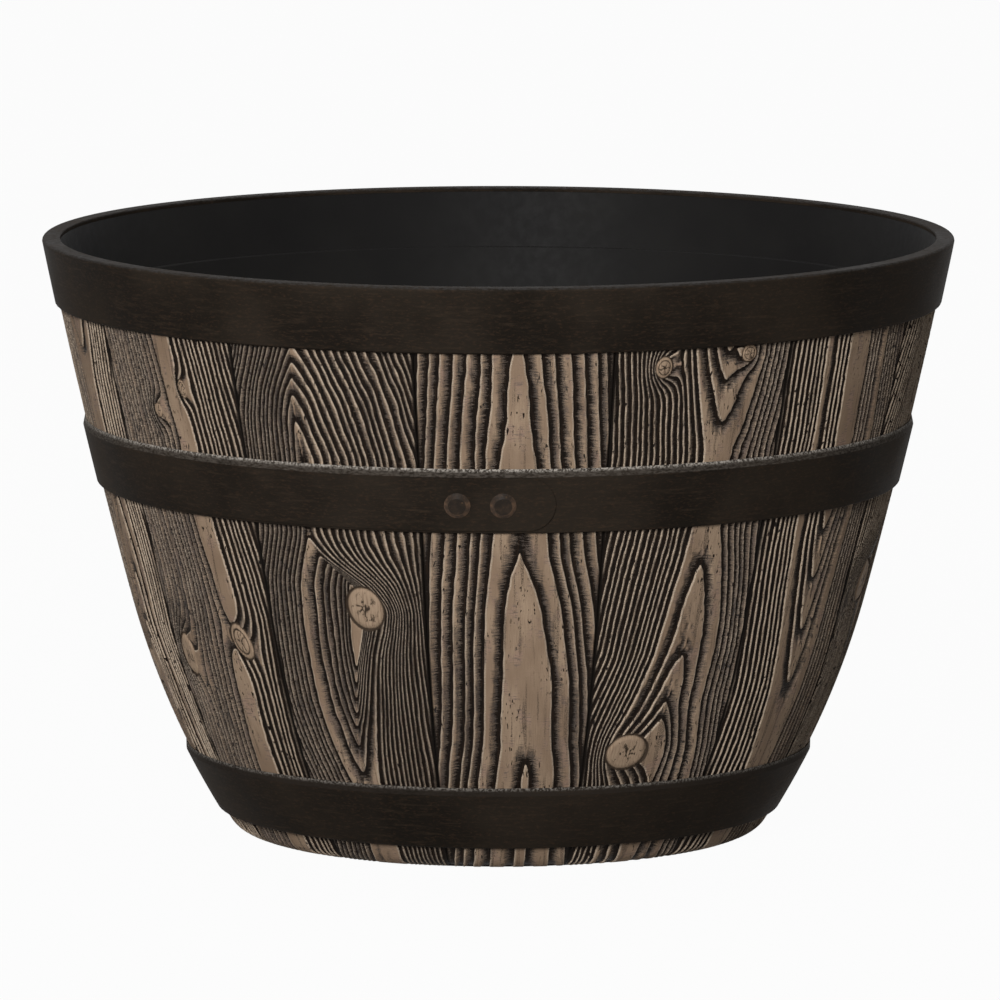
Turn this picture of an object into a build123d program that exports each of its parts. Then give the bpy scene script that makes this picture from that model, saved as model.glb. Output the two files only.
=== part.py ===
from build123d import *
import os
from math import asin, cos, degrees, radians, sin, sqrt

# Half whiskey barrel planter: upright planks held by three riveted strap hoops, with a
# black inner tub, a bottom head of boards, and drain plugs that lift out of the floor.
# Millimetres, +Z up, origin at the centre of the base, front of the barrel towards -Y.

# Barrel shape. The outer face of the planks follows two arcs that meet without a corner
overall_height = 340.0
rim_radius = 260.0  # over the rim band, at its top edge
rim_lean = 11.3  # degrees that the wall leans outwards at the rim
upper_curve_radius = 3350.0
lower_curve_radius = 468.0
curve_joint_height = 135.0
foot_rounding = 14.0

# Planks
plank_count = 14
plank_thickness = 7.2
front_plank_turn = 2.05  # degrees that the front plank's middle sits right of centre
plank_joint_gap = 0.2  # between neighbouring planks, at the foot
seam_groove_width = 2.0  # shallow step along the joint of two planks, at the rim
seam_groove_depth = 1.2
foot_height = 12.0  # from the ground to the ledge that carries the bottom head
foot_width = 16.7  # from the ledge's inner edge to the wall's corner, before it is rounded
croze_depth = 2.0  # groove in the planks that grips the bottom head

# Strap hoops
strap_thickness = 2.3
strap_gap = 0.1  # between a strap and the planks
strap_bevel_height = 4.5  # sloping top edge of the two lower hoops
strap_top_land = 0.4
strap_rounding = 1.0  # lower outer edge
rim_band_height = 37.0
rim_top_rounding = 1.8
rim_inner_rounding = 0.8
middle_hoop_bottom = 201.0
middle_hoop_height = 36.5
bottom_hoop_bottom = 13.5
bottom_hoop_height = 37.0

# Riveted laps, where a strap's end lies over its start
lap_thickness = 0.9
lap_edge_margin = 0.5  # between the lap and the bevel or the rounded edge
lap_end_reach = 31.6  # from the lap's middle plane to its round end
lap_start_turn = 50.0  # degrees left of the middle plane, where the fading step of the lap stops
rivet_from_end = 29.0
rivet_spacing = 25.2
rivet_head_radius = 7.3
rivet_crown_radius = 4.8
rivet_head_height = 1.9
rivet_shank_radius = 3.0
rivet_tail_radius = 4.2
rivet_tail_depth = 1.2
rivet_fit = 0.05  # clearance round the shank and under the head
front_lap_turn = 0.0
back_lap_turn = 180.0

# Inner tub
tub_gap = 0.2  # between the tub and the planks or the bottom head
tub_thickness = 2.5
tub_rim_step = 2.3  # how far the tub's wall steps out behind the rim band
tub_floor_thickness = 3.0
tub_corner_rounding = 12.0
tub_heel_rounding = 9.0
tub_ridge_rounding = 0.9

# Bottom head
head_board_count = 5
head_thickness = 8.0
head_gap = 0.15  # round the boards in the groove and on the ledge
board_gap = 0.3

# Drain plugs
plug_count = 3
drain_radius = 10.0
board_hole_extra = 1.5  # the board's hole is this much wider than the tub's
plug_clearance = 0.3
plug_flange_radius = 16.0
plug_flange_thickness = 2.5
plug_seat_gap = 0.3
plug_reach_below = 1.5  # stem below the underside of the bottom head
plug_tip_chamfer = 1.5
plug_tab_width = 16.0
plug_tab_thickness = 4.0
plug_tab_height = 11.0
plug_edge_rounding = 0.8

# Heights and layers worked out from the sizes above
strap_stand = strap_gap + strap_thickness
rim_band_bottom = overall_height - rim_band_height
rim_flange_bottom = overall_height - strap_thickness
plank_top = rim_flange_bottom - strap_gap
groove_inset = plank_thickness - croze_depth
groove_top = foot_height + head_thickness + 2 * head_gap
tub_outer_inset = plank_thickness + tub_gap
tub_inner_inset = tub_outer_inset + tub_thickness
rim_rebate_inset = plank_thickness - tub_rim_step
tub_rim_outer_inset = rim_rebate_inset + tub_gap
tub_rim_inner_inset = tub_rim_outer_inset + tub_thickness
tub_bottom = groove_top + tub_gap
tub_floor_top = tub_bottom + tub_floor_thickness
tub_shoulder = rim_band_bottom + tub_gap

# Centres of the two arcs, as radius and height, and the wall's lean where they meet
upper_centre_radius = rim_radius - (upper_curve_radius + strap_stand) * cos(radians(rim_lean))
upper_centre_height = overall_height + (upper_curve_radius + strap_stand) * sin(radians(rim_lean))
joint_lean = asin((upper_centre_height - curve_joint_height) / upper_curve_radius)
lower_centre_radius = upper_centre_radius + (upper_curve_radius - lower_curve_radius) * cos(joint_lean)
lower_centre_height = upper_centre_height - (upper_curve_radius - lower_curve_radius) * sin(joint_lean)


# The wall at a given distance inside the planks' outer face

def joint_height(inset):
    return lower_centre_height - (lower_curve_radius - inset) * sin(joint_lean)


def wall_arc(height, inset):
    if height > joint_height(inset):
        return upper_centre_radius, upper_centre_height, upper_curve_radius - inset
    return lower_centre_radius, lower_centre_height, lower_curve_radius - inset


def wall_radius(height, inset=0.0):
    centre_radius, centre_height, curve = wall_arc(height, inset)
    return centre_radius + sqrt(curve**2 - (centre_height - height) ** 2)


def wall_lean(height, inset=0.0):
    centre_radius, centre_height, curve = wall_arc(height, inset)
    return asin((centre_height - height) / curve)


def wall_point(height, inset=0.0):
    return Vector(wall_radius(height, inset), 0, height)


def wall_curve(inset, bottom, top):
    # One arc, or two where the stretch passes the height at which the curve changes
    joint = joint_height(inset)
    stops = [bottom, joint, top] if bottom < joint < top else [bottom, top]
    arcs = []
    for low, high in zip(stops, stops[1:]):
        middle = wall_point((low + high) / 2, inset)
        arcs.append(ThreePointArc(wall_point(low, inset), middle, wall_point(high, inset)))
    return arcs


def closed_section(stretches):
    # Joins curves and loose points, in order, into one face of the section through the axis
    edges = []
    start = None
    last = None
    for stretch in stretches:
        ends = (stretch, stretch) if isinstance(stretch, Vector) else (stretch[0], stretch[1])
        if last is not None and (ends[0] - last).length > 1e-6:
            edges.append(Line(last, ends[0]))
        if not isinstance(stretch, Vector):
            edges.extend(stretch[2])
        start = ends[0] if start is None else start
        last = ends[1]
    edges.append(Line(last, start))
    return Face(Wire(edges))


def wall_up(inset, bottom, top):
    return wall_point(bottom, inset), wall_point(top, inset), wall_curve(inset, bottom, top)


def wall_down(inset, top, bottom):
    return wall_point(top, inset), wall_point(bottom, inset), wall_curve(inset, bottom, top)


def rounded_corner(section, corner, radius):
    # Rounds the one corner of a section that lies nearest to a point
    nearest = section.vertices().sort_by_distance(corner)[0]
    return section.fillet_2d(radius, [nearest])


def turned(section, sweep=360.0):
    return revolve(section, axis=Axis.Z, revolution_arc=sweep)


# Planks

def foot_inner_radius():
    return wall_radius(0) - foot_width


def plank_section():
    foot_corner = Vector(wall_radius(0), 0, 0)
    section = closed_section([
        Vector(foot_inner_radius(), 0, 0),
        wall_up(0, 0, plank_top),
        wall_down(rim_rebate_inset, plank_top, rim_band_bottom),
        wall_down(plank_thickness, rim_band_bottom, groove_top),
        wall_down(groove_inset, groove_top, foot_height),
        Vector(foot_inner_radius(), 0, foot_height),
    ])
    return rounded_corner(section, foot_corner, foot_rounding)


def face_strip(depth, start_turn, width):
    # An upright strip of a plank's outer face, as deep as the groove that it leaves when taken off
    layer = closed_section([
        wall_up(-depth, -depth, overall_height),
        wall_down(depth, overall_height, -depth),
    ])
    return Rot(0, 0, start_turn) * turned(layer, degrees(width / rim_radius))


def make_plank():
    # Made with its first side on the section, then turned so that its middle faces the front
    joint_turn = degrees(plank_joint_gap / foot_inner_radius())
    sweep = 360.0 / plank_count - joint_turn
    plank = turned(plank_section(), sweep)
    seam_width = seam_groove_width / 2
    for start_turn in (0, sweep - degrees(seam_width / rim_radius)):
        plank -= face_strip(seam_groove_depth, start_turn, seam_width)
    return Rot(0, 0, -90 - sweep / 2) * plank


# Strap hoops

def strap_section(bottom, height):
    top = bottom + height
    bevel_foot = top - strap_bevel_height
    section = closed_section([
        wall_down(-strap_gap, top, bottom),
        wall_up(-strap_stand, bottom, bevel_foot),
        wall_point(top, -strap_gap - strap_top_land),
    ])
    return rounded_corner(section, wall_point(bottom, -strap_stand), strap_rounding)


def rim_section():
    # The rim band turns inwards at its top and caps the planks and the tub
    inner_radius = wall_radius(rim_flange_bottom, tub_rim_inner_inset)
    inner_top = Vector(inner_radius, 0, overall_height)
    section = closed_section([
        wall_up(-strap_stand, rim_band_bottom, overall_height),
        inner_top,
        Vector(inner_radius, 0, rim_flange_bottom),
        wall_down(-strap_gap, rim_flange_bottom, rim_band_bottom),
    ])
    section = rounded_corner(section, wall_point(overall_height, -strap_stand), rim_top_rounding)
    section = rounded_corner(section, inner_top, rim_inner_rounding)
    return rounded_corner(section, wall_point(rim_band_bottom, -strap_stand), strap_rounding)


def lap_turn(distance_from_end, height):
    # Degrees right of the lap's middle plane, for a length back along the strap from its round end
    radius = wall_radius(height, -strap_stand)
    return degrees(asin(lap_end_reach / radius) - distance_from_end / radius)


def make_lap(face_bottom, face_top):
    # The strap's outer end: a thin layer that stands out most at its round end and fades
    # away along the strap, because its circle is moved slightly towards that end
    low = face_bottom + strap_rounding + lap_edge_margin
    high = face_top - lap_edge_margin
    half_width = (high - low) / 2
    middle = (high + low) / 2
    end_turn = radians(lap_turn(0, middle))
    layer = turned(closed_section([
        wall_up(-strap_stand, low, high),
        wall_down(-2 * strap_gap, high, low),
    ]))
    toward_end = Vector(sin(end_turn), -cos(end_turn), 0)
    layer = Pos(toward_end * lap_thickness) * layer
    start_reach = wall_radius(middle, -strap_stand) * sin(radians(lap_start_turn))
    straight = lap_end_reach - half_width + start_reach
    outline = Pos(-start_reach + straight / 2, 0) * Rectangle(straight, 2 * half_width)
    outline += Pos(lap_end_reach - half_width, 0) * Circle(half_width)
    window = extrude(Plane.XZ * Pos(0, middle) * outline, rim_radius + strap_stand)
    return layer & window


def rivet_places(height):
    # A plane for each rivet, on the lap's outer face and square to it
    places = []
    lean = wall_lean(height, -strap_stand)
    for distance in (rivet_from_end, rivet_from_end + rivet_spacing):
        turn = radians(lap_turn(distance, height))
        lap_stand = lap_thickness * cos(turn - radians(lap_turn(0, height))) * cos(lean)
        radius = wall_radius(height, -strap_stand - lap_stand)
        outwards = Vector(cos(lean) * sin(turn), -cos(lean) * cos(turn), -sin(lean))
        origin = Vector(radius * sin(turn), -radius * cos(turn), height)
        places.append(Plane(origin=origin, z_dir=outwards))
    return places


def rivet_core(extra):
    # Shank and spread tail, with the same clearance added all round for the hole
    shank_radius = rivet_shank_radius + extra
    tail_radius = rivet_tail_radius + extra
    inner_end = -(lap_thickness + strap_thickness) + rivet_fit - extra
    tail = Pos(0, 0, inner_end) * Cone(
        tail_radius, shank_radius, rivet_tail_depth, align=(Align.CENTER, Align.CENTER, Align.MIN)
    )
    shank = Pos(0, 0, inner_end) * Cylinder(
        shank_radius, -inner_end + rivet_fit + extra, align=(Align.CENTER, Align.CENTER, Align.MIN)
    )
    return shank + tail


def make_rivet():
    head = Cone(
        rivet_head_radius,
        rivet_crown_radius,
        rivet_head_height,
        align=(Align.CENTER, Align.CENTER, Align.MIN),
    )
    crown_edge = head.edges().filter_by(GeomType.CIRCLE).sort_by(Axis.Z)[-1]
    head = fillet([crown_edge], rivet_head_height / 2)
    return Pos(0, 0, rivet_fit) * head + rivet_core(0)


def strap_with_rivets(ring, face_bottom, face_top, turn):
    # Adds the lap, drills it, and gives back the strap and its rivets
    places = rivet_places((face_bottom + face_top) / 2)
    strap = ring + make_lap(face_bottom, face_top)
    for place in places:
        strap -= place * rivet_core(rivet_fit)
    rivets = Part() + [Rot(0, 0, turn) * (place * make_rivet()) for place in places]
    return Rot(0, 0, turn) * strap, rivets


def make_hoop(bottom, height, turn):
    ring = turned(strap_section(bottom, height))
    return strap_with_rivets(ring, bottom, bottom + height - strap_bevel_height, turn)


def make_rim_band(turn):
    ring = turned(rim_section())
    return strap_with_rivets(ring, rim_band_bottom, overall_height - strap_bevel_height, turn)


# Inner tub, bottom head and drain plugs

def drain_places():
    # Each hole lies in the middle of a board, one on the middle board, the others beside it
    circle = head_board_pitch() / cos(radians(30))
    places = []
    for number in range(plug_count):
        turn = radians(90 + number * 360 / plug_count)
        places.append((circle * cos(turn), circle * sin(turn)))
    return places


def head_radius():
    return wall_radius(foot_height + head_gap + head_thickness, groove_inset + head_gap)


def head_board_pitch():
    return 2 * head_radius() / head_board_count


def drilled(body, radius):
    for x, y in drain_places():
        body -= Pos(x, y, 0) * Cylinder(radius, 2 * tub_floor_top + foot_height)
    return body


def make_tub():
    heel = wall_point(tub_bottom, tub_outer_inset)
    floor_corner = wall_point(tub_floor_top, tub_inner_inset)
    inner_shoulder = tub_shoulder + tub_thickness
    section = closed_section([
        Vector(0, 0, tub_bottom),
        wall_up(tub_outer_inset, tub_bottom, tub_shoulder),
        wall_up(tub_rim_outer_inset, tub_shoulder, plank_top),
        wall_down(tub_rim_inner_inset, plank_top, inner_shoulder),
        wall_down(tub_inner_inset, inner_shoulder, tub_floor_top),
        Vector(0, 0, tub_floor_top),
    ])
    section = rounded_corner(section, heel, tub_heel_rounding)
    section = rounded_corner(section, floor_corner, tub_corner_rounding)
    ridge = wall_point(inner_shoulder, tub_inner_inset)
    section = rounded_corner(section, ridge, tub_ridge_rounding)
    return drilled(turned(section), drain_radius)


def make_head_boards():
    low = foot_height + head_gap
    edge = groove_inset + head_gap
    disc = turned(closed_section([
        Vector(0, 0, low),
        wall_up(edge, low, low + head_thickness),
        Vector(0, 0, low + head_thickness),
    ]))
    disc = drilled(disc, drain_radius + board_hole_extra)
    pitch = head_board_pitch()
    boards = []
    for number in range(head_board_count):
        middle = (number - (head_board_count - 1) / 2) * pitch
        strip = Box(pitch - board_gap, 3 * head_radius(), 3 * groove_top)
        boards.append(disc & (Pos(middle, 0, 0) * strip))
    return boards


def make_plug():
    # Stem through the floor, a flange that seals on it and an upright tab to pull
    upwards = (Align.CENTER, Align.CENTER, Align.MIN)
    seat = tub_floor_top + plug_seat_gap
    stem_bottom = foot_height - plug_reach_below
    stem = Pos(0, 0, stem_bottom) * Cylinder(drain_radius - plug_clearance, seat - stem_bottom, align=upwards)
    stem = chamfer(stem.edges().sort_by(Axis.Z)[:1], plug_tip_chamfer)
    flange = Pos(0, 0, seat) * Cylinder(plug_flange_radius, plug_flange_thickness, align=upwards)
    flange = fillet(flange.edges().filter_by(GeomType.CIRCLE).sort_by(Axis.Z)[-1:], plug_edge_rounding)
    tab_base = seat + plug_flange_thickness
    half_width = plug_tab_width / 2
    straight = plug_tab_height - half_width + plug_flange_thickness / 2
    outline = Pos(0, -plug_flange_thickness / 2) * Rectangle(
        plug_tab_width, straight, align=(Align.CENTER, Align.MIN)
    )
    outline += Pos(0, plug_tab_height - half_width) * Circle(half_width)
    outline -= Pos(0, -plug_flange_thickness / 2) * Rectangle(
        2 * plug_tab_width, plug_tab_width, align=(Align.CENTER, Align.MAX)
    )
    tab = extrude(Plane.XZ * outline, plug_tab_thickness / 2, both=True)
    return stem + flange + Pos(0, 0, tab_base) * tab


def write_part(name, body):
    export_step(body, os.path.join("parts", name + ".step"))


os.makedirs("parts", exist_ok=True)

plank = make_plank()
for number in range(plank_count):
    turn = front_plank_turn + number * 360.0 / plank_count
    write_part(f"stave_{number + 1:02d}", Rot(0, 0, turn) * plank)

rim_band, rim_band_rivets = make_rim_band(back_lap_turn)
write_part("rim_band", rim_band)
write_part("rim_band_rivets", rim_band_rivets)

middle_hoop, middle_hoop_rivets = make_hoop(middle_hoop_bottom, middle_hoop_height, front_lap_turn)
write_part("middle_hoop", middle_hoop)
write_part("middle_hoop_rivets", middle_hoop_rivets)

bottom_hoop, bottom_hoop_rivets = make_hoop(bottom_hoop_bottom, bottom_hoop_height, back_lap_turn)
write_part("bottom_hoop", bottom_hoop)
write_part("bottom_hoop_rivets", bottom_hoop_rivets)

write_part("liner_tub", make_tub())
for number, board in enumerate(make_head_boards()):
    write_part(f"head_board_{number + 1}", board)
plug = make_plug()
for number, (x, y) in enumerate(drain_places()):
    write_part(f"drain_plug_{number + 1}", Pos(x, y, 0) * plug)

base_radius = wall_radius(0)
print("base corner radius", round(base_radius, 2), "rim opening radius",
      round(wall_radius(rim_flange_bottom, tub_rim_inner_inset), 2))
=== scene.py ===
import math
import bpy
import numpy as np
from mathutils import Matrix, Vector


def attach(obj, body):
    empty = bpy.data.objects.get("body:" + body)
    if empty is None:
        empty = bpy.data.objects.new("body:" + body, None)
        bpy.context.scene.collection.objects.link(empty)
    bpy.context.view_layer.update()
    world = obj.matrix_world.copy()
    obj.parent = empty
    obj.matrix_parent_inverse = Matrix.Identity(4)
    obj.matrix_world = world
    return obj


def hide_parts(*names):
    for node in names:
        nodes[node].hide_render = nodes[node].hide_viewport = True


# Half whiskey barrel planter. The hoops, rivets, tub, bottom boards and plugs come from the
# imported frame; the fourteen planks are carved here, with their grain, knots and foot.
# Lengths on the planks are in millimetres until a mesh is made.

millimetre = 0.001

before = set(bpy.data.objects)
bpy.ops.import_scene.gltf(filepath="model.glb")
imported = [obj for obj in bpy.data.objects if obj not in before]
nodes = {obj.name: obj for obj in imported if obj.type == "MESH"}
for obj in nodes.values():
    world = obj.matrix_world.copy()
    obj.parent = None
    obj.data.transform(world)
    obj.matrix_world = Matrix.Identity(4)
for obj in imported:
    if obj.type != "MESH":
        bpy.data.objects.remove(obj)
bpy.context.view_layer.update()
print("frame loaded,", len(nodes), "nodes")
bpy.ops.object.select_all(action="DESELECT")


# Shape of the barrel wall, as the solids have it

barrel = {
    "height": 340.0,
    "rimRadius": 260.0,
    "rimLean": math.radians(11.3),
    "upperCurve": 3350.0,
    "lowerCurve": 468.0,
    "curveJoint": 135.0,
    "strapStand": 2.4,
    "footRounding": 14.0,
    "plankTop": 337.6,
    "plankCount": 14,
    "frontTurn": 2.05,
    "jointGap": 0.2,
    "footWidth": 16.7,
    "plankThickness": 7.2,
    "footHeight": 12.0,
    "crozeTop": 20.3,
    "crozeInset": 5.2,
    "rimBandBottom": 303.0,
    "rimInset": 4.9,
}


def wallCentres():
    reach = barrel["upperCurve"] + barrel["strapStand"]
    upperRadius = barrel["rimRadius"] - reach * math.cos(barrel["rimLean"])
    upperHeight = barrel["height"] + reach * math.sin(barrel["rimLean"])
    lean = math.asin((upperHeight - barrel["curveJoint"]) / barrel["upperCurve"])
    step = barrel["upperCurve"] - barrel["lowerCurve"]
    lowerRadius = upperRadius + step * math.cos(lean)
    lowerHeight = upperHeight - step * math.sin(lean)
    return upperRadius, upperHeight, lowerRadius, lowerHeight, lean


def wallRadius(height, inset=0.0):
    upperRadius, upperHeight, lowerRadius, lowerHeight, lean = wallCentres()
    height = np.asarray(height, float)
    upperCurve = barrel["upperCurve"] - inset
    lowerCurve = barrel["lowerCurve"] - inset
    joint = lowerHeight - lowerCurve * math.sin(lean)
    upper = upperRadius + np.sqrt(upperCurve**2 - (upperHeight - height) ** 2)
    lower = lowerRadius + np.sqrt(np.maximum(lowerCurve**2 - (lowerHeight - height) ** 2, 0))
    return np.where(height > joint, upper, lower)


def footInnerRadius():
    return float(wallRadius(0)) - barrel["footWidth"]


def wallLean(height):
    upperRadius, upperHeight, lowerRadius, lowerHeight, lean = wallCentres()
    if height > barrel["curveJoint"]:
        return math.asin((upperHeight - height) / barrel["upperCurve"])
    return math.asin((lowerHeight - height) / barrel["lowerCurve"])


# Grain of the planks. The heart line says, from the top down, at which height the middle of
# the tree lies how far across the plank and how deep behind its face. Rings are counted
# outwards from it; knots push them aside. An eye is the teardrop of grain round a big knot:
# two edges and the crest between them, rings counted inwards and outwards from the edges;
# those on its right fan out to the plank's side.

plankDesigns = {
    "front": {
        "heart": ((310, 2.0, 26.3), (304, 2.0, 26.0), (240, 2.4, 22.4), (200, 4.0, 18.4),
                  (186, 4.0, 17.4), (155, 6.5, 11.5), (117, 8.4, 8.2), (77, 8.6, 7.4),
                  (66, 8.6, 5.4), (58, 8.6, 4.0), (0, 6.0, 3.0)),
        "rings": (5.0, 17.5, 26.6, 32.0),
        "pitch": 5.5,
        "pointed": 1.5,
        "leftStretch": 1.0,
        "rightStretch": 1.0,
        "knots": (),
    },
    "leftOfFront": {
        "heart": ((310, -14.0, 24.5), (298, -15.7, 21.0), (294, -15.7, 19.2), (284.6, -16.7, 15.6),
                  (275.5, -17.1, 12.0), (261.7, -17.1, 8.2), (240, -14.5, 4.5), (0, -14.0, 4.5)),
        "rings": (4.2, 8.2, 12.0, 15.6, 19.2, 22.8),
        "pitch": 3.3,
        "pointed": 1.25,
        "leftStretch": 0.82,
        "rightStretch": 1.32,
        "knots": (
            {"across": 13.7, "height": 155.1, "halfWidth": 11.0, "halfHeight": 13.2, "tilt": 20,
             "push": 0.0, "reach": 1.4, "rings": 1},
        ),
        "eye": {
            "below": 216.0,
            "left": ((196, -16.5), (181, -21.0), (168, -24.5), (155, -25.0), (125, -25.0), (108, -24.0),
                     (93, -22.4), (70, -17.0), (56, -13.0), (44, -10.0)),
            "crest": ((196, -16.5), (185, -12.0), (176, 0.0), (168, 9.0), (160, 13.0), (142, 9.0),
                      (132, 7.0), (118, 4.3), (84, -1.0), (56, -3.0), (44, -3.0)),
            "right": ((196, -16.5), (185, -8.0), (175, 6.0), (168, 16.0), (155, 25.5), (142, 22.5),
                      (130, 18.0), (113, 15.0), (90, 12.0), (70, 9.0), (55, 7.5), (44, 7.0)),
            "steepness": 0.76,
            "softness": 1.5,
            "edgeRing": 30.0,
            "rings": (8.0, 9.5, 11.2, 13.4, 16.1, 19.1, 23.2, 30.0),
            "fanEdge": 47.0,
            "fanWidth": 44.0,
        },
    },
    "farLeft": {
        "heart": ((310, 1.0, 3.0), (303, 2.0, 3.0), (243, 10.5, 3.0), (200, 10.5, 3.0), (166, 16.0, 4.0),
                  (145, 17.5, 3.0), (113, 15.5, 3.5), (87, 13.0, 3.5), (54, 10.0, 3.0), (0, 6.0, 3.0)),
        "rings": (8.2, 12.4),
        "pitch": 3.7,
        "pointed": 1.8,
        "leftStretch": 1.0,
        "rightStretch": 1.0,
        "knots": (
            {"across": 13.8, "height": 273.2, "halfWidth": 3.4, "halfHeight": 5.6, "tilt": 15,
             "push": 6.0, "reach": 1.6, "rings": 2},
            {"across": -10.8, "height": 258.8, "halfWidth": 3.6, "halfHeight": 4.4, "tilt": 0,
             "push": -9.0, "reach": 1.9, "rings": 1},
            {"across": 21.0, "height": 128.7, "halfWidth": 7.2, "halfHeight": 11.6, "tilt": 25,
             "push": 7.0, "reach": 1.5, "rings": 2},
            {"across": -32.5, "height": 115.0, "halfWidth": 7.0, "halfHeight": 13.0, "tilt": 10,
             "push": -13.0, "reach": 1.5, "rings": 1},
        ),
    },
    "rightOfFront": {
        "heart": ((310, 12.0, 6.0), (299, 12.5, 7.9), (275.3, 13.5, 13.7), (243, 12.5, 21.0),
                  (215, 11.5, 22.0), (196, 10.8, 21.0), (172.2, 10.1, 17.5), (150, 8.8, 14.5),
                  (127, 7.0, 12.0), (98, 1.0, 7.0), (85, 0.5, 3.5), (70, 2.0, 3.0), (50, 2.0, 4.0),
                  (0, 0.0, 10.0)),
        "rings": (3.5, 7.0, 12.0, 17.5, 25.0),
        "pitch": 3.3,
        "pointed": 1.5,
        "leftStretch": 0.95,
        "rightStretch": 1.08,
        "knots": (
            {"across": -26.6, "height": 292.8, "halfWidth": 5.4, "halfHeight": 6.4, "tilt": 0,
             "push": -11.0, "reach": 1.55, "rings": 2},
            {"across": 26.4, "height": 298.0, "halfWidth": 5.2, "halfHeight": 5.4, "tilt": 0,
             "push": -9.0, "reach": 1.6, "rings": 2},
            {"across": -17.2, "height": 69.8, "halfWidth": 13.0, "halfHeight": 11.0, "tilt": 0,
             "push": -13.0, "reach": 1.4, "rings": 1},
        ),
    },
    "farRight": {
        "heart": ((310, 3.0, 4.0), (300, 3.0, 4.0), (245, 6.0, 4.5), (215, 5.0, 7.0), (185, 3.5, 11.0),
                  (161, 3.5, 14.6), (133, 4.5, 18.3), (101, 6.0, 22.0), (60, 4.0, 26.0), (0, 0.0, 28.0)),
        "rings": (11.0, 14.6, 18.3, 22.0, 31.0),
        "pitch": 3.6,
        "pointed": 1.5,
        "leftStretch": 1.0,
        "rightStretch": 1.0,
        "knots": (),
    },
}

# Which design each plank carries, counted to the right from the front one. The planks out of
# the front view carry the same five boards again, turned over or moved up the log.
plankOrder = (
    ("front", 1, 0), ("rightOfFront", 1, 0), ("farRight", 1, 0), ("leftOfFront", -1, 6),
    ("front", -1, -34), ("farLeft", -1, 18), ("rightOfFront", -1, 22), ("farRight", -1, -30),
    ("leftOfFront", 1, -16), ("front", 1, 40), ("farLeft", 1, -36), ("rightOfFront", 1, -28),
    ("farLeft", 1, 0), ("leftOfFront", 1, 0),
)

# How the planks are carved: steps of the mesh, then depths and widths in millimetres and shares
# of a ring's width. The covered ranges lie behind the hoops.
carving = {
    "columns": 190,
    "backColumns": 13,
    "backRows": 16,
    "fineStep": 1.1,
    "coarseStep": 4.0,
    "footArcSteps": 12,
    "depth": 1.35,
    "widestRing": 6.5,
    "narrowRings": (0.4, 3.2),
    "grooveShare": 0.44,
    "riseShare": 0.86,
    "edgeWidth": 0.35,
    "edgeDepth": 0.5,
    "seamWidth": 1.6,
    "seamDepth": 1.5,
    "coveredRanges": ((14.0, 50.0), (201.5, 237.0), (303.5, 337.6)),
    "coverFade": 1.2,
    "coveredMargins": (2, 4),
    "topMargin": 0.5,
    "narrowestEye": 0.5,
    "innermostRing": -3,
    "farthestRing": 200,
    "pitchSpread": (0.78, 1.22),
    "leastRingSlope": 0.02,
    "farKnot": 9.0,
    "firstSeed": 40,
    "sharpAngle": 50,
}

# Furrows round a knot, as shares of its size: how far out, and half their width
knotCut = {
    "edge": (0.93, 1.02),
    "outerFurrow": (0.93, 0.1),
    "innerFurrow": (0.62, 0.07),
    "innerDepth": 0.6,
}

# How the grain wanders: reach in millimetres, number of waves, their lengths across and up
grainWaves = ((0.4, 5, 45.0, 90.0), (0.2, 7, 14.0, 34.0), (0.1, 9, 5.0, 8.0))

# How far apart two planks lie in the paint's noise, and the ring width on their inner sides
noiseStep = 100.0
plainRingWidth = 4.0

# The lines of the grain run through a few marks. They are worked out at every step of height
# and then made smooth over a window of steps.
lineSmoothing = {
    "lowest": -20.0,
    "highest": 360.0,
    "step": 1.0,
    "window": 17,
}


def smoothStep(low, high, value):
    share = np.clip((value - low) / (high - low), 0, 1)
    return share * share * (3 - 2 * share)


def softNoise(generator, across, height, waves, acrossLength, heightLength):
    # A sum of slanted waves, about 1 high at most
    total = np.zeros_like(across)
    for wave in range(waves):
        acrossTurns = generator.uniform(-1, 1) / acrossLength
        heightTurns = generator.uniform(0.3, 1) / heightLength * generator.choice((-1, 1))
        phase = generator.uniform(0, 2 * math.pi)
        total += np.sin(2 * math.pi * (across * acrossTurns + height * heightTurns) + phase)
    return total / math.sqrt(waves)


def smoothLine(marks, column, height):
    marks = np.array(sorted(marks))
    fine = np.arange(lineSmoothing["lowest"], lineSmoothing["highest"], lineSmoothing["step"])
    window = np.hanning(lineSmoothing["window"])
    window /= window.sum()
    padded = np.pad(np.interp(fine, marks[:, 0], marks[:, column]), len(window) // 2, mode="edge")
    return np.interp(height, fine, np.convolve(padded, window, mode="valid"))


def knotDistance(knot, across, height):
    tilt = math.radians(knot["tilt"])
    sideways = across - knot["across"]
    upwards = height - knot["height"]
    placeX = (sideways * math.cos(tilt) + upwards * math.sin(tilt)) / knot["halfWidth"]
    placeY = (upwards * math.cos(tilt) - sideways * math.sin(tilt)) / knot["halfHeight"]
    return placeX, placeY


def roughGrain(generator, across, height):
    rough = 0
    for reach, waves, acrossLength, heightLength in grainWaves:
        rough = rough + reach * softNoise(generator, across, height, waves, acrossLength, heightLength)
    return rough


def heartDistance(design, across, height):
    heartDepth = smoothLine(design["heart"], 2, height)
    sideways = across - smoothLine(design["heart"], 1, height)
    stretch = np.where(sideways < 0, design["leftStretch"], design["rightStretch"])
    sideways = sideways / stretch
    power = design["pointed"]
    distance = (np.abs(sideways) ** power + np.abs(heartDepth) ** power) ** (1 / power)
    for knot in design["knots"]:
        placeX, placeY = knotDistance(knot, across, height)
        spread = (placeX**2 + placeY**2) / knot["reach"] ** 2
        distance += knot["push"] * np.exp(-spread)
    return distance


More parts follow.
